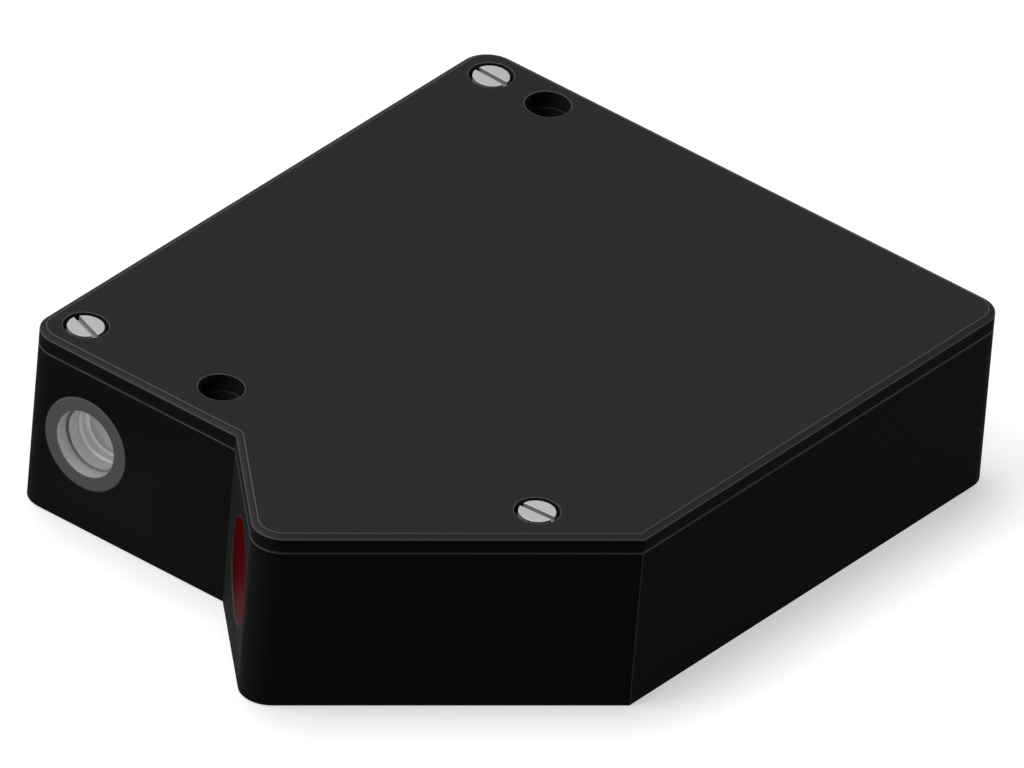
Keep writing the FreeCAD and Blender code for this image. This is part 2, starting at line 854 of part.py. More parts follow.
def contact_places():
    """Local X and Z of the contacts, on a circle."""
    return around(contact_count, contact_circle_radius, 45)


def insert_front():
    """Depth of the insert's front face, down in the connector's socket."""
    return insert_setback - connector_flange_thickness - connector_reach


def make_connector_insert():
    """Moulded insert that carries the contacts, pressed into the shell."""
    front = insert_front()
    length = connector_inner_end() + insert_tail - front
    return placed(bar(front, length, connector_bore_radius - fit_clearance), connector_axis)


def make_connector_contacts():
    """Pins that stand out of the insert's front face."""
    start = insert_front() - contact_reach
    contacts = [bar(start, contact_reach, contact_radius, x, z) for x, z in contact_places()]
    return placed(Part.makeCompound(contacts), connector_axis)


def make_contact_board():
    """Small board on the rear of the insert, where the contacts' tails are soldered."""
    half = contact_board_side / 2
    front = contact_board_depth()
    return placed(block(-half, half, front, front + contact_board_thickness, -half, half), connector_axis)


pieces = {
    "housing": make_housing(),
    "lid": make_lid(),
    "lid_gasket": make_lid_gasket(),
    "cover_screws": make_cover_screws(),
    "laser_bezel": make_laser_bezel(),
    "laser_barrel": make_laser_barrel(),
    "laser_lock_ring": make_laser_lock_ring(),
    "collimating_lens": make_collimating_lens(),
    "diode_holder": make_diode_holder(),
    "laser_diode": make_laser_diode(),
    "laser_driver_board": make_laser_driver_board(),
    "receiver_window": make_receiver_window(),
    "receiver_barrel": make_receiver_barrel(),
    "receiver_front_lens": make_receiver_front_lens(),
    "receiver_lock_ring": make_receiver_lock_ring(),
    "light_hood": make_light_hood(),
    "grub_screws": make_grub_screws(),
    "image_sensor": make_image_sensor(),
    "sensor_cover_glass": make_sensor_cover_glass(),
    "detector_board": make_detector_board(),
    "detector_bracket": make_detector_bracket(),
    "main_board": make_main_board(),
    "processor_chip": make_processor_chip(),
    "interface_chips": make_interface_chips(),
    "power_inductors": make_power_inductors(),
    "filter_capacitors": make_filter_capacitors(),
    "board_headers": make_board_headers(),
    "laser_lead": make_flat_lead(0),
    "detector_lead": make_flat_lead(1),
    "signal_lead": make_flat_lead(2),
    "connector_shell": make_connector_shell(),
    "connector_nut": make_connector_nut(),
    "connector_insert": make_connector_insert(),
    "connector_contacts": make_connector_contacts(),
    "contact_board": make_contact_board(),
}

# The origin goes to the base, under the middle of the sensor from the nose to the connector's end
to_origin = vec(-body_width / 2, -(nose_tip + connector_end) / 2)

os.makedirs("parts", exist_ok=True)
for node, shape in pieces.items():
    shape.translate(to_origin)
    shape.exportStep("parts/" + node + ".step")
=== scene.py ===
import json
import math

import bmesh
import bpy
import numpy as np
from bpy.props import FloatProperty, FloatVectorProperty, IntProperty, PointerProperty
from bpy.types import Operator, Panel, PropertyGroup
from mathutils import Matrix, Vector


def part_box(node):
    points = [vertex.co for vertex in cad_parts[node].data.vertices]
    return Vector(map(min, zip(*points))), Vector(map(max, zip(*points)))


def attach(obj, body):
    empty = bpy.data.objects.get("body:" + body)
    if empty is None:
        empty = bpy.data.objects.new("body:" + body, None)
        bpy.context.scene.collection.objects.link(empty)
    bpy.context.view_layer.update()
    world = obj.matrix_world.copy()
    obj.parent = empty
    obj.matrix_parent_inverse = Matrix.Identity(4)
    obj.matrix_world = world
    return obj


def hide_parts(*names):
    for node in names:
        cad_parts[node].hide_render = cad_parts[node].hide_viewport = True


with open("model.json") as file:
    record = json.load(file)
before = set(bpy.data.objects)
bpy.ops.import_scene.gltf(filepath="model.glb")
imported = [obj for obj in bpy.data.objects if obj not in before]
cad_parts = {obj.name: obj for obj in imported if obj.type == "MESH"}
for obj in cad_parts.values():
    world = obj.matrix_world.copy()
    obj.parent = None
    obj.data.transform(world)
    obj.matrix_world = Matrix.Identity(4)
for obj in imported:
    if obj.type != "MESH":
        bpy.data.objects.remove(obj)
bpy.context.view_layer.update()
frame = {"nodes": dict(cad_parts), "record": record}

bl_info = {
    "name": "Laser displacement sensor",
    "version": (1, 0, 0),
    "blender": (4, 5, 0),
    "location": "3D View > Sidebar > Sensor",
    "description": "Builds the outside of a laser displacement sensor round its packed solids",
    "category": "Object",
}

MM = 0.001
SLANT = math.sqrt(0.5)

# Points closer than this, in metres, are one point
WELD = 2e-7

# A point this near to a face lies in it
NEAR = 0.03 * MM

# Faces that bend more than this keep a sharp line between them
SHARP = math.radians(32)
HOUSING_SHARP = math.radians(24)

# Wear marks: a plain edge has 1, the edges along the seam more, and the chamfer's face a little. On the lid
# the chamfer's mark grows towards the laser as a painted highlight, and all rim marks shrink on the right as
# painted shade
SEAM_WEAR = 1.3
CHAMFER_WEAR = 0.12

# How far the slot of each cover screw is turned, in degrees
SCREW_TURNS = (-2.5, -21.0, 4.0)

# A screw this near to the lid's left edge is one of the two on the left
LEFT_BAND = 20 * MM


# Sizes and colours


def length(name, description, millimetres):
    """A property for a length, given in millimetres and kept in metres."""
    return FloatProperty(
        name=name, description=description, default=millimetres * MM, min=0.0, precision=5, unit="LENGTH"
    )


def colour(name, description, red, green, blue):
    """A property for a colour in linear light."""
    return FloatVectorProperty(
        name=name, description=description, default=(red, green, blue), min=0.0, max=1.0, size=3,
        subtype="COLOR",
    )


def strength(name, description, default):
    """A property for the strength of a light."""
    return FloatProperty(name=name, description=description, default=default, min=0.0)


class SensorBodySizes(PropertyGroup):
    width: length("Width", "From left wall to right wall", 100.0)
    depth: length("Depth", "From laser face to rear wall", 107.8)
    laser_face: length("Laser face", "Width of the face with the laser's bezel", 40.0)
    window_face: length("Window face", "Width of the slanted face with the window", 27.2)
    corner_radius: length("Corner radius", "Radius of the four rounded upright corners", 4.6)
    edge_break: length("Edge break", "Width of the small bevel along the rims", 0.15)
    lid_chamfer: length("Lid chamfer", "Width of the chamfer round the lid's top", 1.0)
    lid_chamfer_angle: FloatProperty(
        name="Chamfer angle", description="Slope of the chamfer round the lid's top", unit="ROTATION",
        default=math.radians(30), min=0.0, max=math.radians(80),
    )
    edge_round: length("Edge round", "Radius that handling leaves on the edges", 0.09)
    worn_strip: length("Worn strip", "Width of the worn strip beside an edge", 0.12)
    turn_segments: IntProperty(
        name="Segments", description="Segments round a turned piece", default=128, min=24, max=512
    )


class SensorFastenerSizes(PropertyGroup):
    well_diameter: length("Well", "Diameter of the well round a screw's head", 6.9)
    clearance_diameter: length("Clearance hole", "Diameter of the hole below the well", 3.4)
    head_recess: length("Head recess", "How far a head lies below the lid's top", 0.1)
    head_height: length("Head height", "Height of a cheese head", 1.75)
    head_diameter: length("Head", "Diameter of a cheese head", 5.66)
    rim_round: length("Rim round", "Rounding of the cheese head's rim", 0.1)
    slot_width: length("Slot width", "Width of the driver's slot", 0.9)
    slot_depth: length("Slot depth", "Depth of the driver's slot", 0.8)
    shank_diameter: length("Shank", "Diameter of the screw's thread", 3.0)
    mounting_diameter: length("Mounting hole", "Diameter of the two through holes", 7.0)


class SensorOpticSizes(PropertyGroup):
    bezel_bore: length("Bezel bore", "Bore of the bright ring in the laser face", 10.8)
    barrel_bore: length("Barrel bore", "Bore of the barrel in front of the lens", 10.1)
    rear_bore: length("Rear bore", "Bore of the barrel behind the lens", 7.8)
    ring_bore: length("Lock ring bore", "Bore of the lens's lock ring", 9.2)
    ring_lip_bore: length("Lock ring lip", "Bore of the lip that holds the lens", 8.2)
    ring_lip: length("Lip thickness", "Thickness of the lock ring's lip", 0.3)
    ring_bevel: length("Lock ring bevel", "Width of the bevel round the lock ring's mouth", 0.35)
    turned_round: length("Turned edge", "Radius on the edges of the turned pieces", 0.08)
    glass_bevel: length("Glass bevel", "Bevel round the window's edge", 0.15)


class SensorConnectorSizes(PropertyGroup):
    thread_diameter: length("Thread", "Outer diameter of the connector's thread", 12.0)
    thread_pitch: length("Pitch", "Pitch of the connector's thread", 1.0)
    thread_depth: length("Thread depth", "Depth of the connector's thread", 0.55)
    reach: length("Reach", "How far the connector stands out of its flange", 8.0)
    flange_diameter: length("Flange", "Diameter of the flange on the rear wall", 16.0)
    flange_thickness: length("Flange thickness", "Thickness of the flange", 2.0)
    bore: length("Bore", "Bore of the socket", 9.4)
    key_width: length("Key width", "Width of the key rib in the socket", 1.2)
    key_height: length("Key height", "Height of the key rib in the socket", 0.6)
    contact_diameter: length("Contact", "Diameter of a contact pin", 1.0)


class SensorColours(PropertyGroup):
    anodised: colour("Anodised", "Black anodised finish of housing and lid", 0.028, 0.028, 0.0285)
    worn: colour("Worn edge", "Metal that shows along worn edges", 0.14, 0.14, 0.145)
    screw: colour("Screws", "Satin steel of the cover screws", 0.46, 0.46, 0.475)
    bezel: colour("Ring face", "Dull face of the ring round the laser's exit", 0.27, 0.27, 0.272)
    # Painted light: the bore's colour is paler than its metal, to make up for the shade inside the bore
    bore: colour("Bore with painted light", "Turned light metal inside the laser's exit", 0.86, 0.86, 0.865)
    glass: colour("Filter glass", "Red filter in front of the receiver", 0.14, 0.003, 0.003)
    floor: colour("Floor", "Pale floor under the sensor", 0.62, 0.62, 0.62)


class SensorStage(PropertyGroup):
    lens: FloatProperty(
        name="Lens", description="Long lens that comes close to a parallel view", default=1250.0,
        unit="CAMERA",
    )
    frame_width: length("Frame width", "Width of what the camera takes in", 151.67)
    top_light: strength("Top light", "Soft light from above", 1.68)
    front_light: strength("Front light", "Soft light from high in front", 1.15)
    left_light: strength("Left light", "Soft light on the left side", 0.06)
    right_light: strength("Right light", "Soft light on the right side", 0.55)
    surroundings: strength("Surroundings", "Even light from all round", 0.025)
    floor_half: length("Floor", "Half the width of the floor", 6000.0)
    floor_shade: strength("Floor shade", "How much soft light the floor sends back", 0.03)
    floor_lift: strength("Floor lift", "Light of its own that the seen floor has", 0.52)


# Shapes as arrays


def unit(vectors):
    """Vectors scaled to length 1."""
    return vectors / np.maximum(np.linalg.norm(vectors, axis=-1, keepdims=True), 1e-12)


def softened(corners, radii, worn, steps=5, strip=0.0, closed=True):
    """Flat paths whose corners are arcs, and a mark that is 1 on the worn corners.

    In a corner with half angle h, an arc of radius r starts r / tan(h) before the corner, and its centre lies
    r / sin(h) along the bisector. Its points swing evenly from the first radius to the last. A point on each
    side of the arc, a strip's width away, bounds the mark.
    """
    corners = np.asarray(corners, float)
    radii = np.broadcast_to(np.asarray(radii, float), corners.shape[:-1]).copy()
    worn = np.broadcast_to(np.asarray(worn, float), corners.shape[:-1])
    if not closed:
        radii[..., [0, -1]] = 0.0
    back = np.roll(corners, 1, axis=-2) - corners
    ahead = np.roll(corners, -1, axis=-2) - corners
    to_back, to_ahead = unit(back), unit(ahead)
    cosine = np.clip((to_back * to_ahead).sum(-1), -1 + 1e-9, 1 - 1e-9)
    half = np.arccos(cosine) / 2
    trim = (radii / np.tan(half))[..., None]
    centre = corners + unit(to_back + to_ahead) * (radii / np.sin(half))[..., None]
    start, end = corners + to_back * trim, corners + to_ahead * trim
    swing = (np.pi - 2 * half)[..., None, None]
    share = np.linspace(0, 1, steps)[:, None]
    first, last = (start - centre)[..., None, :], (end - centre)[..., None, :]
    mixed = np.sin((1 - share) * swing) * first + np.sin(share * swing) * last
    arcs = centre[..., None, :] + mixed / np.sin(swing)
    bounds = []
    for point, side, towards, shift in ((start, back, to_back, 1), (end, ahead, to_ahead, -1)):
        free = np.linalg.norm(side, axis=-1, keepdims=True) - trim - np.roll(trim, shift, axis=-2)
        bound = point + towards * np.minimum(strip, 0.45 * np.maximum(free, 0))
        if not closed:
            bound[..., [0, -1], :] = corners[..., [0, -1], :]
        bounds.append(bound[..., None, :])
    points = np.concatenate([bounds[0], arcs, bounds[1]], axis=-2)
    marks = np.zeros(points.shape[:-1])
    marks[..., 1:-1] = worn[..., None]
    shape = corners.shape[:-2] + (-1,)
    return points.reshape(shape + (2,)), marks.reshape(shape)


def sheet(points, marks, close_rows=False, close_columns=True, finish=0):
    """One patch of a piece: a grid of points whose rows and columns may run round and close."""
    rows, columns = points.shape[:2]
    index = np.arange(rows * columns).reshape(rows, columns)
    if close_rows:
        index = np.vstack([index, index[:1]])
    if close_columns:
        index = np.hstack([index, index[:, :1]])
    quads = np.stack([index[:-1, :-1], index[1:, :-1], index[1:, 1:], index[:-1, 1:]], axis=-1)
    marks = np.broadcast_to(marks[:, None] if marks.ndim == 1 else marks, (rows, columns))
    along = np.linalg.norm(np.diff(points[:, :1], axis=0, prepend=points[:1, :1]), axis=-1).cumsum(axis=0)
    return {
        "points": points.reshape(-1, 3),
        "wear": marks.reshape(-1),
        "lathe": np.broadcast_to(along, (rows, columns)).reshape(-1),
        "quads": quads.reshape(-1, 4),
        "finish": finish,
    }


def swung(depth, radius, angle):
    """Points (r cos a, d, r sin a) for depths d, radii r and angles a round an axis."""
    return np.stack([radius * np.cos(angle), depth + 0 * angle, radius * np.sin(angle)], axis=-1)


def turned(profile, marks, place, closed=True, segments=None):
    """A profile of depth and radius swung about an axis, and put in its place."""
    segments = segments or bpy.context.scene.sensor_body.turn_segments
    angle = np.linspace(0, 2 * np.pi, segments, endpoint=False)
    return sheet(placed(swung(profile[:, :1], profile[:, 1:], angle), place), marks, closed)


def placed(points, place):
    """Points carried from a local frame, a 4 by 4 matrix, to the sensor's own."""
    place = np.asarray(place)
    return points @ place[:3, :3].T + place[:3, 3]


def axis_frame(origin, inward):
    """Frame at a point of an opening, whose local Y axis runs into the sensor and whose Z axis is up."""
    inward = Vector(inward).normalized()
    side = inward.cross(Vector((0, 0, 1)))
    return Matrix.Translation(origin) @ Matrix((side, inward, Vector((0, 0, 1)))).transposed().to_4x4()


def upright(x, y):
    """Frame of an upright axis at a place in plan, whose local Y axis runs up."""
    return Matrix.Translation((x, y, 0)) @ Matrix.Rotation(math.pi / 2, 4, "X")


def middle(node):
    """Middle of a solid's box."""
    low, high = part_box(node)
    return (low + high) / 2


def radius_of(node):
    """Radius of a solid that is turned about an axis across the X axis, from its box."""
    low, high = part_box(node)
    return (high.x - low.x) / 2


# Pieces


def link(name, data):
    """A new object in the scene for a mesh, a light or a camera."""
    made = bpy.data.objects.new(name, data)
    bpy.context.scene.collection.objects.link(made)
    return made


def close_flat_rims(bm, height):
    """Fills the open rims that lie at one height with a flat face that keeps its holes."""
    rims = [
        edge
        for edge in bm.edges
        if edge.is_boundary and all(abs(vert.co.z - height) < WELD / 2 for vert in edge.verts)
    ]
    bmesh.ops.triangle_fill(bm, use_beauty=True, edges=rims, normal=(0, 0, 1))


def finish_piece(bm, mesh, node, materials, sharp=SHARP):
    """Sets a closed mesh in its CAD node's place, with outward faces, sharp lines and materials."""
    bmesh.ops.recalc_face_normals(bm, faces=bm.faces)
    bm.to_mesh(mesh)
    bm.free()
    mesh.shade_smooth()
    mesh.set_sharp_from_angle(angle=sharp)
    for material in materials:
        mesh.materials.append(material)
    piece = link(mesh.name, mesh)
    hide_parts(node)
    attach(piece, "root")


def make_piece(name, patches, node, materials, flat_rims=()):
    """Joins patches to one closed mesh, and makes a piece of it."""
    counts = np.cumsum([0] + [len(patch["points"]) for patch in patches])
    points = np.concatenate([patch["points"] for patch in patches])
    quads = np.concatenate([patch["quads"] + count for patch, count in zip(patches, counts)])
    finish = np.concatenate([np.broadcast_to(patch["finish"], len(patch["quads"])) for patch in patches])
    mesh = bpy.data.meshes.new(name)
    mesh.from_pydata(points, [], quads)
    mesh.polygons.foreach_set("material_index", finish.astype(np.int32))
    for label in ("wear", "lathe"):
        values = np.concatenate([patch[label] for patch in patches]).astype(np.float32)
        mesh.attributes.new(label, "FLOAT", "POINT").data.foreach_set("value", values)
    bm = bmesh.new()
    bm.from_mesh(mesh)
    bmesh.ops.remove_doubles(bm, verts=bm.verts, dist=WELD)
    bmesh.ops.dissolve_degenerate(bm, edges=bm.edges, dist=WELD / 2)
    for height in flat_rims:
        close_flat_rims(bm, height)
    finish_piece(bm, mesh, node, materials)


def plan_corners(sizes):
    """Plan corners of the body in metres, clockwise from the one between left wall and laser face."""
    low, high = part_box("lid")
    left, rear = low.x, high.y
    face = rear - sizes.depth
    nose_x = left + sizes.laser_face + sizes.window_face * SLANT
    nose_y = face - sizes.window_face * SLANT
    right = left + sizes.width
    return np.array([
        (left, face), (left, rear), (right, rear), (right, nose_y + right - nose_x), (nose_x, nose_y),
        (left + sizes.laser_face, face),
    ])


def plan_loops(sizes, insets, steps=13):
    """The plan's outline moved inwards by each inset.

    A corner moves by the inset times (m + n) / (1 + m . n), where m and n are the inward normals of its two
    sides, and a rounded corner's radius shrinks by the inset.
    """
    corners = plan_corners(sizes)
    along = unit(np.roll(corners, -1, axis=0) - corners)
    normal = np.stack([along[:, 1], -along[:, 0]], axis=-1)
    before = np.roll(normal, 1, axis=0)
    mitre = (before + normal) / (1 + (before * normal).sum(-1, keepdims=True))
    loops = corners + np.asarray(insets)[:, None, None] * mitre
    radii = np.array([sizes.corner_radius] * 3 + [sizes.edge_round, sizes.corner_radius, 0.0])
    least = np.minimum(radii, 0.02 * MM)
    shrunk = np.maximum(radii - np.asarray(insets)[:, None], least)
    return softened(loops, shrunk, 0.0, steps)[0]


def screw_places():
    """Plan places of the cover screws, from the solids themselves: left rear, left front and nose."""
    mesh = frame["nodes"]["cover_screws"].data
    flat = np.zeros(len(mesh.vertices) * 3)
    mesh.vertices.foreach_get("co", flat)
    points = flat.reshape(-1, 3)[:, :2]
    on_left = points[:, 0] < points[:, 0].min() + LEFT_BAND
    to_rear = points[:, 1] > 0
    groups = (points[on_left & to_rear], points[on_left & ~to_rear], points[~on_left])
    return [(group.min(axis=0) + group.max(axis=0)) / 2 for group in groups]


def mounting_places():
    """Plan places of the two holes right through, from the record's mounts."""
    return [mount["pos_m"][:2] for mount in frame["record"]["mounts"] if mount["kind"] == "bore"]


def on_outside(point, corners, holes, bore):
    """Whether a point lies on the base, in one of the body's outer faces or in a mounting hole's wall."""
    flat = np.array(point[:2])
    from_wall = np.abs(np.linalg.norm(holes - flat, axis=-1) - bore).min()
    if point.z < NEAR or from_wall < 3 * NEAR:
        return True
    along = np.roll(corners, -1, axis=0) - corners
    share = ((flat - corners) * along).sum(-1) / (along**2).sum(-1)
    foot = corners + np.clip(share, 0, 1)[:, None] * along
    return np.linalg.norm(foot - flat, axis=-1).min() < NEAR


# Materials


def node_group(name, inputs, outputs):
    """A shader group whose sockets are numbers, apart from Vector, what it is given, and its last node."""
    group = bpy.data.node_groups.new(name, "ShaderNodeTree")
    for side, labels in (("INPUT", inputs), ("OUTPUT", outputs)):
        for label in labels:
            kind = "NodeSocketVector" if label == "Vector" else "NodeSocketFloat"
            group.interface.new_socket(label, in_out=side, socket_type=kind)
    return group, group.nodes.new("NodeGroupInput").outputs, group.nodes.new("NodeGroupOutput")


def feed(tree, node, links):
    """Gives a node's inputs other nodes' outputs or plain values."""
    for key, value in links:
        if isinstance(value, bpy.types.NodeSocket):
            tree.links.new(value, node.inputs[key])
        else:
            node.inputs[key].default_value = value


def add(tree, kind, links=(), **settings):
    """A node with some settings and inputs."""
    made = tree.nodes.new(kind)
    for key, value in settings.items():
        setattr(made, key, value)
    feed(tree, made, links)
    return made


def calculate(tree, operation, first, second=0.5, third=0.5, clamp=False):
    """A sum, product or the like of sockets or plain values."""
    links = ((0, first), (1, second), (2, third))
    return add(tree, "ShaderNodeMath", links, operation=operation, use_clamp=clamp).outputs[0]


def noise(tree, vector, scale, detail, roughness):
    """A noise in space, from 0 to 1."""
    return add(tree, "ShaderNodeTexNoise", (
        ("Vector", vector), ("Scale", scale), ("Detail", detail), ("Roughness", roughness),
    )).outputs["Fac"]


def grain_group():
    """Fine blasted or moulded grain, with a slow drift in shade over it, from a noise 60 times coarser.

    The shade is 1 plus a share of the slow noise and of 0.8 of the fine one, and the polish is that share of
    the slow noise.
    """
    outputs = ("Height", "Shade", "Polish")
    group, given, sink = node_group("surface grain", ("Vector", "Scale", "Drift"), outputs)
    fine = noise(group, given["Vector"], given["Scale"], 3.0, 0.6)
    slow = noise(group, given["Vector"], calculate(group, "DIVIDE", given["Scale"], 60.0), 4.0, 0.5)
    slow_drift = calculate(group, "SUBTRACT", slow, 0.5)
    fine_drift = calculate(group, "SUBTRACT", fine, 0.5)
    drift = calculate(group, "MULTIPLY_ADD", fine_drift, 0.8, slow_drift)
    shade = calculate(group, "MULTIPLY_ADD", drift, given["Drift"], 1.0)
    polish = calculate(group, "MULTIPLY", slow_drift, given["Drift"])
    feed(group, sink, (("Height", fine), ("Shade", shade), ("Polish", polish)))
    return group


def wear_group():
    """Where a finish has thinned: an edge's mark, times 0.55 to 1.25 by noise, times an amount."""
    group, given, sink = node_group("edge wear", ("Vector", "Mark", "Amount"), ("Worn",))
    patches = noise(group, given["Vector"], 900.0, 5.0, 0.65)
    broken = calculate(group, "MULTIPLY_ADD", patches, 0.7, 0.55)
    worn = calculate(group, "MULTIPLY", given["Mark"], broken)
    feed(group, sink, (("Worn", calculate(group, "MULTIPLY", worn, given["Amount"], clamp=True)),))
    return group


def lathe_group():
    """Turning marks: fine rings that follow the profile of a turned piece."""
    group, given, sink = node_group("turning marks", ("Along", "Scale"), ("Height", "Shade"))
    rings = add(group, "ShaderNodeTexNoise", (
        ("W", given["Along"]), ("Scale", given["Scale"]), ("Detail", 2.0),
    ), noise_dimensions="1D").outputs["Fac"]
    feed(group, sink, (("Height", rings), ("Shade", calculate(group, "MULTIPLY_ADD", rings, 0.3, 0.85))))
    return group


def shared(tree, name, make, **inputs):
    """The outputs of a node with a shared group, which is made the first time it is asked for."""
    group = bpy.data.node_groups.get(name) or make()
    return add(tree, "ShaderNodeGroup", inputs.items(), node_tree=group).outputs


def tinted(tree, shade, rgb):
    """A colour times a factor that varies over the surface."""
    return add(tree, "ShaderNodeMix", (
        ("Factor", 1.0), (6, (*rgb, 1.0)), (7, shade),
    ), data_type="RGBA", blend_type="MULTIPLY").outputs[2]


def surface_material(
    name, rgb, roughness, metallic=0.0, specular=0.5, grain=4000.0, drift=0.12, bump=0.08, worn=None,
    worn_amount=0.8, rings=0.0, coat=0.0, transmission=0.0,
):
    """A finish with grain and drift, and with worn edges or turning marks where they are asked for.

    Worn gives the colour, the roughness and the metallic share of a worn edge.
    """
    material = bpy.data.materials.new(name)
    material.use_nodes = True
    tree = material.node_tree
    place = add(tree, "ShaderNodeTexCoord").outputs["Object"]
    surface = shared(tree, "surface grain", grain_group, Vector=place, Scale=grain, Drift=drift)
    shade, height = surface["Shade"], surface["Height"]
    if rings:
        along = add(tree, "ShaderNodeAttribute", attribute_name="lathe").outputs["Fac"]
        lathe = shared(tree, "turning marks", lathe_group, Along=along, Scale=rings)
        shade = calculate(tree, "MULTIPLY", shade, lathe["Shade"])
        height = calculate(tree, "ADD", height, lathe["Height"])
    base, metal = tinted(tree, shade, rgb), metallic
    rough = calculate(tree, "MULTIPLY_ADD", surface["Polish"], 1.0, roughness, clamp=True)
    if worn:
        mark = add(tree, "ShaderNodeAttribute", attribute_name="wear").outputs["Fac"]
        amount = shared(tree, "edge wear", wear_group, Vector=place, Mark=mark, Amount=worn_amount)["Worn"]
        worn_rgb, worn_roughness, worn_metallic = worn
        mix = (("Factor", amount), (6, base), (7, tinted(tree, shade, worn_rgb)))
        base = add(tree, "ShaderNodeMix", mix, data_type="RGBA").outputs[2]
        rough = calculate(tree, "MULTIPLY_ADD", amount, worn_roughness - roughness, rough, clamp=True)
        metal = calculate(tree, "MULTIPLY_ADD", amount, worn_metallic - metallic, metallic, clamp=True)
    relief = add(tree, "ShaderNodeBump", (("Height", height), ("Strength", bump), ("Distance", 0.02 * MM)))
    feed(tree, tree.nodes["Principled BSDF"], (
        ("Base Color", base), ("Metallic", metal), ("Roughness", rough), ("Normal", relief.outputs[0]),
        ("Specular IOR Level", specular), ("Coat Weight", coat), ("Transmission Weight", transmission),
    ))
    return material


def anodised_material():
    """The black finish that housing and lid share."""
    colours = bpy.context.scene.sensor_colours
    return bpy.data.materials.get("black anodised") or surface_material(
        "black anodised", colours.anodised, 0.6, specular=0.004, grain=2600.0, drift=0.16, bump=0.25,
        worn=(colours.worn, 0.4, 0.1), worn_amount=0.75,
    )


def lathe_finish(name, rgb, roughness, **settings):
    """A turned metal face or bore, with fine rings."""
    return surface_material(
        name, rgb, roughness, grain=3000.0, drift=0.1, bump=0.12, rings=14000.0, **settings
    )


# Colour, roughness and other settings of the finish in each material slot
FINISHES = {
    "black_anodised_aluminium": ((0.03, 0.03, 0.032), 0.5, dict(specular=0.2)),
    "stainless_steel": ((0.55, 0.55, 0.56), 0.3, dict(metallic=0.9)),
    "turned_metal": ((0.6, 0.6, 0.61), 0.35, dict(metallic=0.8)),
    "plain_aluminium": ((0.62, 0.62, 0.63), 0.38, dict(metallic=0.9, grain=1500.0)),
    "black_barrel_aluminium": ((0.015, 0.015, 0.016), 0.65, dict(specular=0.2)),
    "clear_glass": ((0.9, 0.94, 0.95), 0.03, dict(transmission=0.9, bump=0.01, drift=0.04)),
    "red_filter_glass": ((0.2, 0.004, 0.004), 0.05, dict(bump=0.01)),
    "brass": ((0.7, 0.5, 0.22), 0.32, dict(metallic=1.0)),
    "gold_plate": ((0.83, 0.58, 0.22), 0.25, dict(metallic=1.0)),
    "nickel_plated_brass": ((0.6, 0.59, 0.56), 0.3, dict(metallic=1.0)),
    "dark_steel": ((0.05, 0.05, 0.055), 0.4, dict(metallic=0.8)),
    "black_rubber": ((0.018, 0.018, 0.018), 0.75, dict(specular=0.2, bump=0.4, grain=1800.0)),
    "black_plastic": ((0.022, 0.022, 0.024), 0.5, dict(bump=0.3, grain=2200.0)),
    "chip_plastic": ((0.028, 0.028, 0.03), 0.6, dict(bump=0.35, grain=3000.0)),
    "cream_plastic": ((0.62, 0.58, 0.48), 0.45, dict(bump=0.2, grain=2500.0)),
    "capacitor_plastic": ((0.42, 0.27, 0.05), 0.45, dict(bump=0.25, grain=2500.0)),
    "circuit_board": ((0.015, 0.12, 0.05), 0.3, dict(coat=0.4, drift=0.4, grain=1200.0)),
    "dark_ceramic": ((0.09, 0.075, 0.065), 0.55, dict(bump=0.3)),
    "ferrite": ((0.09, 0.09, 0.1), 0.6, dict(bump=0.5, grain=1500.0)),
    "amber_film": ((0.45, 0.2, 0.035), 0.25, dict(coat=0.3)),
}


# Profiles


def screw_head(sizes):
    """Top and side of a slotted cheese head as a height field, with its wear marks and a finish index whose 1
    gives the slot's floor its painted shade.

    At u along the slot and v across it, the height is the slot's profile at v less the rounded rim's fall,
    s - sqrt(s^2 - b^2), where s is the rounding and b is how far (u, v) lies beyond the head's radius less s.
    For each v, u is the half chord times the sine of an even turn from rim to rim. A last point at each end
    stands straight below, on the head's foot.
    """
    radius, soft, half = sizes.head_diameter / 2, sizes.rim_round, sizes.slot_width / 2
    height, floor = sizes.head_height, sizes.head_height - sizes.slot_depth
    burr, slot_wear, flank_steps, chord_steps = 0.06 * MM, 0.4, 16, 33
    wide = half + 4 * burr
    slot, slot_marks = softened(
        [(-wide, height), (-half, height), (-half, floor), (half, floor), (half, height), (wide, height)],
        burr, [0, slot_wear, 0, 0, slot_wear, 0], steps=4, strip=2 * burr, closed=False,
    )
    flank = -radius * np.cos(np.linspace(0, math.acos(wide / radius), flank_steps)[:-1])
    flank = np.stack([flank, np.full(len(flank), height)], axis=-1)
    across = np.concatenate([flank, slot, (flank * [-1, 1])[::-1]])
    marks = np.concatenate([np.zeros(len(flank)), slot_marks, np.zeros(len(flank))])
    offset, level = across[:, :1], across[:, 1:]
    span = np.sin(np.linspace(-math.pi / 2, math.pi / 2, chord_steps))
    along = span * np.sqrt(np.maximum(radius**2 - offset**2, 0))
    beyond = np.maximum(np.hypot(along, offset) - radius + soft, 0)
    fall = soft - np.sqrt(np.maximum(soft**2 - beyond**2, 0))
    head = np.stack([along, offset + 0 * along, level - fall], axis=-1)
    foot = head[:, [0, -1]] * [1, 1, 0]
    head = np.concatenate([foot[:, :1], head, foot[:, 1:]], axis=1).transpose(1, 0, 2)
    # The slot's floor faces get finish 1, a darker steel that is painted shade in the recess
    low = across[:, 1] < floor + 0.5 * burr
    finish = np.tile(low[1:] & low[:-1], len(head) - 1).astype(int)
    return head, marks[None], finish


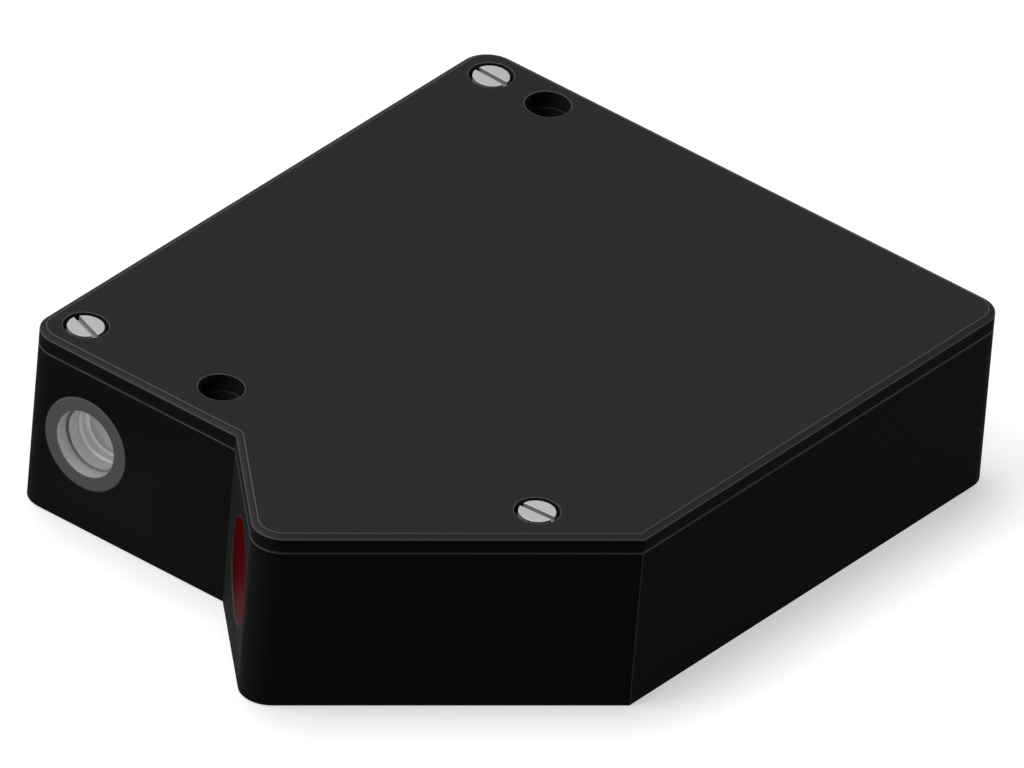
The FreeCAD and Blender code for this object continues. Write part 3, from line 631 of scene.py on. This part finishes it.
def thread_ribs(sizes, root, start, end):
    """Ridges of a thread round the Y axis from one depth to another, as a closed sleeve with its wear marks.

    At depth d and angle a, the phase is the fraction of d / pitch - a / (2 pi), and the radius is the root's
    plus the thread's depth times a crest, 1.35 - 3.2 |phase - 0.5| held between 0 and 1, and times a fade
    that rises from 0 to 1 over 0.6 of a pitch at each end. A ring below the root closes each end.
    """
    rows, columns, sunk = 200, 96, 0.1 * MM
    depth = np.linspace(start, end, rows)[:, None]
    angle = np.linspace(0, 2 * np.pi, columns, endpoint=False)
    phase = (depth / sizes.thread_pitch - angle / (2 * np.pi)) % 1.0
    crest = np.clip(1.35 - 3.2 * np.abs(phase - 0.5), 0, 1)
    fade = np.clip(np.minimum(depth - start, end - depth) / (0.6 * sizes.thread_pitch), 0, 1)
    radius = root + sizes.thread_depth * crest * fade
    radius = np.pad(radius, ((1, 1), (0, 0)), constant_values=root - sunk)
    depth = np.pad(depth, ((1, 1), (0, 0)), mode="edge")
    marks = np.zeros(radius.shape)
    marks[1:-1] = 0.5 * (crest * fade > 0.9)
    return swung(depth, radius, angle), marks


def key_rib(sizes, start, end):
    """A rib with rounded edges on the socket's wall, closed by a point at each end, with its wear marks."""
    foot, half = sizes.bore / 2 + 0.05 * MM, sizes.key_width / 2
    low, soft = sizes.bore / 2 - sizes.key_height, 0.15 * MM
    outline, marks = softened(
        [(-half, foot), (-half, low), (half, low), (half, foot)], [0, soft, soft, 0], [0, 1, 1, 0],
        strip=0.05 * MM,
    )
    depths = np.array([start, start, end, end])[:, None]
    rib = np.stack(np.broadcast_arrays(outline[:, 0], depths, outline[:, 1]), axis=-1)
    rib[[0, -1]] = rib[[0, -1]].mean(axis=1, keepdims=True)
    return rib, marks[None]


# Operators


class SENSOR_OT_housing(Operator):
    """Housing: the milled block itself, with its outer edges rounded and worn"""

    bl_idname = "sensor.housing"
    bl_label = "Housing"

    def execute(self, context):
        sizes = context.scene.sensor_body
        nearly_flat, bent = math.radians(0.4), math.radians(20)
        mesh = frame["nodes"]["housing"].data.copy()
        mesh.name = "milled_housing"
        mesh.materials.clear()
        for label in ("custom_normal", "sharp_face", "sharp_edge"):
            if label in mesh.attributes:
                mesh.attributes.remove(mesh.attributes[label])
        bm = bmesh.new()
        bm.from_mesh(mesh)
        bmesh.ops.remove_doubles(bm, verts=bm.verts, dist=0.001 * MM)
        bmesh.ops.dissolve_limit(bm, angle_limit=nearly_flat, verts=bm.verts, edges=bm.edges)
        wear = bm.faces.layers.float.new("wear")
        bm.normal_update()
        reach = 2 * sizes.edge_break
        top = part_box("housing")[1].z
        for face in bm.faces:
            slopes = 0.5 < abs(face.normal.z) < 0.9
            height = face.calc_center_median().z
            if slopes and (height < reach or height > top - reach):
                face[wear] = SEAM_WEAR
        corners, holes = plan_corners(sizes), np.array(mounting_places())
        bore = context.scene.sensor_fasteners.mounting_diameter / 2
        edges = [
            edge
            for edge in bm.edges
            if len(edge.link_faces) == 2
            and not any(face[wear] > 0 for face in edge.link_faces)
            and edge.calc_face_angle_signed(0.0) >= bent
            and on_outside((edge.verts[0].co + edge.verts[1].co) / 2, corners, holes, bore)
        ]
        made = bmesh.ops.bevel(
            bm, geom=edges, offset=sizes.edge_round, segments=3, profile=0.5, affect="EDGES",
            clamp_overlap=True,
        )
        for face in made["faces"]:
            face[wear] = 1.0
        materials = [anodised_material()]
        finish_piece(bm, mesh, "housing", materials, HOUSING_SHARP)
        return {"FINISHED"}


class SENSOR_OT_lid(Operator):
    """Lid: a plate with a chamfered rim, wells for the screws and holes for mounting"""

    bl_idname = "sensor.lid"
    bl_label = "Lid"

    def execute(self, context):
        sizes, fasteners = context.scene.sensor_body, context.scene.sensor_fasteners
        low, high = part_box("lid")
        seam, top = low.z, high.z
        patches = [self.rim(sizes, seam, top)]
        strip, soft = sizes.worn_strip, 0.8 * sizes.edge_round
        seat = top - fasteners.head_recess - fasteners.head_height
        well, hole = fasteners.well_diameter / 2, fasteners.clearance_diameter / 2
        bore = fasteners.mounting_diameter / 2
        wells = [
            (well + 2 * strip, top), (well, top), (well, seat), (hole, seat), (hole, seam),
            (hole + strip, seam),
        ]
        bores = [(bore + 2 * strip, top), (bore, top), (bore, seam), (bore + 2 * strip, seam)]
        for places, outline, worn in (
            (screw_places(), wells, [0, 1, 0, 0, 0, 0]),
            (mounting_places(), bores, [0, 1, 2, 0]),
        ):
            path, marks = softened(outline, soft, worn, strip=strip, closed=False)
            for x, y in places:
                patches.append(turned(path[:, ::-1], marks, upright(x, y), closed=False, segments=96))
        materials = [anodised_material()]
        make_piece("lid_plate", patches, "lid", materials, (seam, top))
        return {"FINISHED"}

    def rim(self, sizes, seam, top):
        """The lid's edge carried round the plan, with its marks raised towards the laser as a painted
        highlight and lowered on the right as painted shade.
        """
        strip, soft, chamfer = sizes.worn_strip, sizes.edge_round, sizes.lid_chamfer
        # Painted highlight added to the chamfer towards the laser, and the share of painted shade taken off
        # all marks on the right
        painted_highlight_at_laser, painted_shade_on_right = 0.15, 0.3
        flat = chamfer + 4 * strip
        rim, marks = softened(
            [
                (flat, seam), (sizes.edge_break, seam), (0, seam + sizes.edge_break),
                (0, top - chamfer * math.tan(sizes.lid_chamfer_angle)), (chamfer, top), (flat, top),
            ],
            [0, 0.4 * soft, 0.4 * soft, soft, soft, 0], [0, SEAM_WEAR, SEAM_WEAR, 1, 1, 0],
            strip=strip, closed=False,
        )
        inset, height = rim[:, 0], rim[:, 1]
        on_chamfer = (inset > 1.5 * soft) & (inset < chamfer - 1.5 * soft) & (height > seam + soft)
        loops = plan_loops(sizes, inset)
        outward = unit(loops[inset.argmin()] - loops[0])
        # Painted light: the marks follow the way the rim faces, lighter towards the laser and darker on the
        # right
        to_laser, to_right = np.maximum(-outward[:, 1], 0), np.maximum(outward[:, 0], 0)
        marks = marks[:, None] * (1 - painted_shade_on_right * to_right)
        marks[on_chamfer] = CHAMFER_WEAR * (1 - to_right) + painted_highlight_at_laser * to_laser
        heights = np.broadcast_to(height[:, None, None], loops.shape[:2] + (1,))
        return sheet(np.concatenate([loops, heights], axis=-1), marks)


class SENSOR_OT_cover_screws(Operator):
    """Cover screws: slotted cheese heads, each turned to where it was tightened"""

    bl_idname = "sensor.cover_screws"
    bl_label = "Cover screws"

    def execute(self, context):
        sizes = context.scene.sensor_fasteners
        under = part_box("lid")[1].z - sizes.head_recess - sizes.head_height
        end, shank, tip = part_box("cover_screws")[0].z, sizes.shank_diameter / 2, 0.4 * MM
        head, marks, finish = screw_head(sizes)
        stem, stem_marks = softened(
            [(end, 0), (end, shank - tip), (end + tip, shank), (under, shank), (under, 0)], 0.0, 0.0
        )
        patches = []
        for (x, y), turn in zip(screw_places(), SCREW_TURNS):
            place = Matrix.Translation((x, y, under)) @ Matrix.Rotation(math.radians(turn), 4, "Z")
            patches.append(sheet(placed(head, place), marks, close_columns=False, finish=finish))
            patches.append(turned(stem, stem_marks, upright(x, y), segments=48))
        steel = surface_material(
            "satin steel", context.scene.sensor_colours.screw, 0.4, metallic=0.3, specular=0.1,
            grain=5000.0, bump=0.15, worn=((0.6, 0.6, 0.61), 0.3, 0.4),
        )
        # Painted shade: the slot's floor is a darker, rougher steel than the head
        slot_painted_shade = surface_material(
            "slot floor", (0.22, 0.22, 0.225), 0.55, metallic=0.3, specular=0.1, grain=5000.0, drift=0.2,
            bump=0.2,
        )
        make_piece("slotted_screws", patches, "cover_screws", [steel, slot_painted_shade], (under,))
        return {"FINISHED"}


class SENSOR_OT_laser_optics(Operator):
    """Laser exit: bezel, barrel, lock ring and lens, all turned about the beam"""

    bl_idname = "sensor.laser_optics"
    bl_label = "Laser exit"

    def execute(self, context):
        sizes, colours = context.scene.sensor_optics, context.scene.sensor_colours
        face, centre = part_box("laser_bezel")[0].y, middle("laser_bezel")
        place = axis_frame((centre.x, face, centre.z), (0, 1, 0))
        soft = sizes.turned_round
        dull = lathe_finish(
            "dull ring face", colours.bezel, 0.5, metallic=0.05, specular=0.05,
            worn=((0.3, 0.3, 0.3), 0.3, 0.2),
        )
        # Painted light: the bore, lock ring and lens get paler colours than their own, to make up for the
        # shade inside the bore
        bright = lathe_finish(
            "bright bore", colours.bore, 0.4, metallic=0.8, specular=0.3,
            worn=((0.66, 0.66, 0.67), 0.25, 0.85),
        )
        # Its worn colour is darker than the ring and is painted shade on the mouth's bevel
        satin = lathe_finish(
            "satin lock ring", (0.79, 0.79, 0.795), 0.5, metallic=0.65, specular=0.3,
            worn=((0.52, 0.52, 0.52), 0.5, 0.5),
        )
        # Painted light: the lens is a paler grey than its own, to make up for the shade in the bore
        coated = surface_material(
            "coated lens", (0.56, 0.56, 0.57), 0.3, metallic=0.5, specular=0.4, grain=900.0, drift=0.05,
            bump=0.01,
        )

        def span(node):
            """How far a solid's front and rear lie behind the laser face, and its radius."""
            low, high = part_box(node)
            return low.y - face, high.y - face, (high.x - low.x) / 2

        def by_face(chosen):
            """A 1 for each face between two chosen points of a profile, and a 0 for the others."""
            return (chosen & np.roll(chosen, -1)).repeat(context.scene.sensor_body.turn_segments).astype(int)

        (front, rear, outer), bore = span("laser_bezel"), sizes.bezel_bore / 2
        ring, marks = softened(
            [(front, bore), (front, outer), (rear, outer), (rear, bore)], soft, [1, 0.6, 0, 0],
            strip=0.15 * MM,
        )
        bezel = turned(ring, marks, place)
        bezel["finish"] = by_face(np.abs(ring[:, 1] - bore) < 0.1 * soft)
        make_piece("bezel_ring", [bezel], "laser_bezel", [dull, bright])

        front, rear, outer = span("laser_barrel")
        lens_front, seat, lens_outer = span("collimating_lens")
        wide, narrow = sizes.barrel_bore / 2, sizes.rear_bore / 2
        tube, marks = softened(
            [(front, wide), (front, outer), (rear, outer), (rear, narrow), (seat, narrow), (seat, wide)],
            soft, [0, 0, 0.5, 0, 0, 0], strip=0.2 * MM,
        )
        barrel = turned(tube, marks, place)
        barrel["finish"] = by_face(tube[:, 0] < front + 1.1 * soft)
        make_piece("lens_barrel", [barrel], "laser_barrel", [bright, dull])

        front, rear, outer = span("laser_lock_ring")
        wall, lip = sizes.ring_bore / 2, sizes.ring_lip_bore / 2
        step, mouth = rear - sizes.ring_lip, sizes.ring_bevel
        ring, marks = softened(
            [
                (front, outer), (rear, outer), (rear, lip), (step, lip), (step, wall), (front + mouth, wall),
                (front, wall + mouth),
            ],
            0.5 * soft, 0.0, strip=0.12 * MM,
        )
        # Painted shade: the mouth's bevel takes the darker worn colour in full, to dull the highlight that it
        # catches
        marks[(ring[:, 0] < front + mouth) & (ring[:, 1] < wall + mouth)] = 1.0
        make_piece("lens_lock_ring", [turned(ring, marks, place)], "laser_lock_ring", [satin])

        disc, marks = softened(
            [(lens_front, 0), (lens_front, lens_outer), (seat, lens_outer), (seat, 0)], soft, 0.0,
            strip=0.3 * MM,
        )
        make_piece("front_lens", [turned(disc, marks, place)], "collimating_lens", [coated])
        return {"FINISHED"}


class SENSOR_OT_receiver_window(Operator):
    """Receiver window: a disc of red filter glass with a ground bevel"""

    bl_idname = "sensor.receiver_window"
    bl_label = "Receiver window"

    def execute(self, context):
        bevel = context.scene.sensor_optics.glass_bevel
        low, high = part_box("receiver_window")
        radius = (high.z - low.z) / 2
        thickness = (high.x - low.x - 2 * radius * SLANT) / SLANT
        inward = Vector((SLANT, SLANT, 0))
        place = axis_frame(middle("receiver_window") - inward * thickness / 2, inward)
        disc, marks = softened(
            [
                (0, 0), (0, radius - bevel), (bevel, radius), (thickness - bevel, radius),
                (thickness, radius - bevel), (thickness, 0),
            ],
            0.3 * bevel, [0, 1, 1, 0, 0, 0], strip=0.15 * MM,
        )
        glass = surface_material(
            "red filter glass", context.scene.sensor_colours.glass, 0.38, specular=0.0008, grain=500.0,
            drift=0.06, bump=0.01, worn=((0.30, 0.28, 0.28), 0.5, 0.0), worn_amount=0.6,
        )
        patches = [turned(disc, marks, place)]
        make_piece("filter_window", patches, "receiver_window", [glass])
        return {"FINISHED"}


class SENSOR_OT_connector(Operator):
    """Rear connector: threaded shell with its key rib, insert and contact pins"""

    bl_idname = "sensor.connector"
    bl_label = "Rear connector"

    def execute(self, context):
        sizes = context.scene.sensor_connector
        low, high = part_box("connector_shell")
        centre, mouth = middle("connector_shell"), high.y
        place = axis_frame((centre.x, mouth, centre.z), (0, -1, 0))
        key_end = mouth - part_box("connector_insert")[1].y
        self.make_shell(sizes, mouth - low.y, key_end, place)
        self.make_insert(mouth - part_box("connector_insert")[0].y, key_end, place)
        self.make_pins(sizes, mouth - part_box("connector_contacts")[1].y, key_end, place)
        return {"FINISHED"}

    def make_shell(self, sizes, whole, key_end, place):
        """Turned shell and flange, with the thread's ridges outside and the key rib inside."""
        thread, bore, flange = sizes.thread_diameter / 2, sizes.bore / 2, sizes.flange_diameter / 2
        root, reach, rear = thread - sizes.thread_depth, sizes.reach, sizes.reach + sizes.flange_thickness
        chamfer, entry, relief, sunk = 0.5 * MM, 0.3 * MM, 1.2 * MM, 0.1 * MM
        core = root + 0.3 * chamfer
        shell, marks = softened(
            [
                (entry, bore), (0, bore + entry), (0, root - sunk), (chamfer, core), (reach - relief, core),
                (reach, core), (reach, flange - chamfer), (reach + chamfer, flange), (rear, flange),
                (rear, thread), (whole, thread), (whole, bore),
            ],
            0.06 * MM, [1, 1, 1, 0, 0, 0, 1, 1, 0, 0, 0, 0], strip=0.2 * MM,
        )
        ribs, crests = thread_ribs(sizes, root, chamfer, reach - relief)
        key, key_marks = key_rib(sizes, entry, key_end)
        nickel = surface_material(
            "nickel plate", (0.50, 0.49, 0.47), 0.3, metallic=0.9, grain=3000.0, bump=0.1,
            worn=((0.72, 0.71, 0.69), 0.2, 1.0), rings=9000.0,
        )
        patches = [
            turned(shell, marks, place),
            sheet(placed(ribs, place), crests, close_rows=True),
            sheet(placed(key, place), key_marks),
        ]
        make_piece("threaded_shell", patches, "connector_shell", [nickel])

    def make_insert(self, rear, front, place):
        """Moulded disc that the pins stand in."""
        radius, step = radius_of("connector_insert"), 0.25 * MM
        insert, marks = softened(
            [
                (front, 0), (front, radius - 2 * step), (front + step, radius - step), (front + step, radius),
                (rear, radius), (rear, 0),
            ],
            0.08 * MM, [0, 1, 0, 0, 0, 0], strip=0.2 * MM,
        )
        plastic = surface_material(
            "moulded insert", (0.022, 0.022, 0.024), 0.42, grain=2500.0, drift=0.15, bump=0.3,
            worn=((0.06, 0.06, 0.062), 0.5, 0.0),
        )
        patches = [turned(insert, marks, place, segments=96)]
        make_piece("contact_insert", patches, "connector_insert", [plastic])

    def make_pins(self, sizes, tip, rear, place):
        """Four pins with rounded tips, a quarter turn apart."""
        pin = sizes.contact_diameter / 2
        circle = (radius_of("connector_contacts") - pin) * math.sqrt(2)
        profile, marks = softened(
            [(tip, 0), (tip, 0.55 * pin), (tip + 0.8 * pin, pin), (rear, pin), (rear, 0)],
            [0, 0.3 * pin, 0.3 * pin, 0, 0], [0, 1, 1, 0, 0], steps=6, strip=0.1 * MM,
        )
        patches = []
        for angle in np.radians([45, 135, 225, 315]):
            shift = Matrix.Translation((circle * math.cos(angle), 0, circle * math.sin(angle)))
            patches.append(turned(profile, marks, place @ shift, segments=32))
        gold = surface_material(
            "gold plate", (0.83, 0.58, 0.22), 0.25, metallic=1.0, drift=0.1, bump=0.06,
            worn=((0.9, 0.7, 0.35), 0.2, 1.0),
        )
        make_piece("contact_pins", patches, "connector_contacts", [gold])


class SENSOR_OT_inner_parts(Operator):
    """Inner parts: the solids as they are, each with the finish of its material"""

    bl_idname = "sensor.inner_parts"
    bl_label = "Inner parts"

    def execute(self, context):
        made = {
            slot: surface_material(slot.replace("_", " ") + " finish", rgb, roughness, **settings)
            for slot, (rgb, roughness, settings) in FINISHES.items()
        }
        for part in frame["record"]["subparts"]:
            materials = frame["nodes"][part["node"]].data.materials
            materials.clear()
            materials.append(made[part["material_slot"]])
        return {"FINISHED"}


class SENSOR_OT_stage(Operator):
    """Stage: pale floor, soft lights, white surroundings and the camera"""

    bl_idname = "sensor.stage"
    bl_label = "Stage"

    def execute(self, context):
        scene, stage = context.scene, context.scene.sensor_stage
        self.add_floor(scene, stage)
        self.add_world(scene, stage)
        self.add_lights(stage)
        self.add_camera(scene, stage)
        scene.view_settings.view_transform = "Standard"
        return {"FINISHED"}

    def seen(self, tree):
        """A 1 for rays from the camera, off a gloss or through glass, and a 0 for soft light."""
        path = add(tree, "ShaderNodeLightPath")
        either = calculate(tree, "MAXIMUM", path.outputs["Is Camera Ray"], path.outputs["Is Glossy Ray"])
        return calculate(tree, "MAXIMUM", either, path.outputs["Is Transmission Ray"])

    def add_floor(self, scene, stage):
        """Pale where it is seen, and dark for the soft light that it would send up."""
        half = stage.floor_half
        corners = ((-half, -half), (half, -half), (half, half), (-half, half))
        mesh = bpy.data.meshes.new("floor")
        mesh.from_pydata([(x, y, -0.02 * MM) for x, y in corners], [], [(0, 1, 2, 3)])
        floor = link("floor", mesh)
        material = bpy.data.materials.new("pale floor")
        material.use_nodes = True
        tree = material.node_tree
        tree.nodes.clear()
        seen = self.seen(tree)
        dark, pale = (*[stage.floor_shade] * 3, 1.0), (*scene.sensor_colours.floor, 1.0)
        tone = add(tree, "ShaderNodeMix", (("Factor", seen), (6, dark), (7, pale)), data_type="RGBA")
        matt = add(tree, "ShaderNodeBsdfDiffuse", (("Color", tone.outputs[2]),))
        shown = calculate(tree, "MULTIPLY", seen, stage.floor_lift)
        lift = add(tree, "ShaderNodeEmission", (("Strength", shown),))
        both = add(tree, "ShaderNodeAddShader", ((0, matt.outputs[0]), (1, lift.outputs[0])))
        add(tree, "ShaderNodeOutputMaterial", (("Surface", both.outputs[0]),))
        mesh.materials.append(material)

    def add_world(self, scene, stage):
        """White where it is seen, and a faint even light all round."""
        world = bpy.data.worlds.new("white surroundings")
        world.use_nodes = True
        tree = world.node_tree
        tree.nodes.clear()
        faint = stage.surroundings
        strength = calculate(tree, "MULTIPLY_ADD", self.seen(tree), 1.0 - faint, faint)
        light = add(tree, "ShaderNodeBackground", (("Color", (1.0, 1.0, 1.0, 1.0)), ("Strength", strength)))
        add(tree, "ShaderNodeOutputWorld", (("Surface", light.outputs[0]),))
        scene.world = world

    def add_lights(self, stage):
        """Each with its strength, how many degrees wide it looks, and the direction that it comes from."""
        for name, spread, direction in (
            ("top_light", 30, (-0.22, 0.08, 1.0)),
            ("front_light", 30, (-0.28, -0.37, 0.88)),
            ("left_light", 40, (-0.85, -0.50, 0.20)),
            ("right_light", 40, (0.74, 0.66, 0.20)),
        ):
            data = bpy.data.lights.new(name, "SUN")
            data.energy = getattr(stage, name)
            data.angle = math.radians(spread)
            link(name, data).rotation_euler = Vector(direction).to_track_quat("Z", "Y").to_euler()

    def add_camera(self, scene, stage):
        """Looks down on the nose from the right, turned as the photograph is."""
        right = Vector((0.77566116, 0.62703607, 0.07194117))
        up = Vector((-0.39464860, 0.39289563, 0.83059347))
        back = Vector((0.49254669, -0.67265057, 0.55221279))
        centre = right * 3.456 * MM + up * 16.376 * MM + back * 8.3 * MM
        data = bpy.data.cameras.new("camera")
        data.lens = stage.lens
        distance = stage.frame_width * data.lens / data.sensor_width
        scene.camera = link("camera", data)
        turn = Matrix((right, up, back)).transposed().to_4x4()
        scene.camera.matrix_world = Matrix.Translation(centre + back * distance) @ turn


class SENSOR_PT_panel(Panel):
    """Lists the sensor's pieces in the order in which they are made"""

    bl_label = "Laser displacement sensor"
    bl_space_type = "VIEW_3D"
    bl_region_type = "UI"
    bl_category = "Sensor"

    def draw(self, context):
        for operator in operators:
            self.layout.operator(operator.bl_idname)


groups = (
    ("sensor_body", SensorBodySizes),
    ("sensor_fasteners", SensorFastenerSizes),
    ("sensor_optics", SensorOpticSizes),
    ("sensor_connector", SensorConnectorSizes),
    ("sensor_colours", SensorColours),
    ("sensor_stage", SensorStage),
)
operators = (
    SENSOR_OT_inner_parts,
    SENSOR_OT_housing,
    SENSOR_OT_lid,
    SENSOR_OT_cover_screws,
    SENSOR_OT_laser_optics,
    SENSOR_OT_receiver_window,
    SENSOR_OT_connector,
    SENSOR_OT_stage,
)


def register():
    for label, group in groups:
        bpy.utils.register_class(group)
        setattr(bpy.types.Scene, label, PointerProperty(type=group))
    for made in (*operators, SENSOR_PT_panel):
        bpy.utils.register_class(made)


def unregister():
    for made in (SENSOR_PT_panel, *reversed(operators)):
        bpy.utils.unregister_class(made)
    for label, group in reversed(groups):
        delattr(bpy.types.Scene, label)
        bpy.utils.unregister_class(group)


def main():
    register()
    bpy.ops.sensor.inner_parts()
    bpy.ops.sensor.housing()
    bpy.ops.sensor.lid()
    bpy.ops.sensor.cover_screws()
    bpy.ops.sensor.laser_optics()
    bpy.ops.sensor.receiver_window()
    bpy.ops.sensor.connector()
    bpy.ops.sensor.stage()


if __name__ == "__main__":
    main()
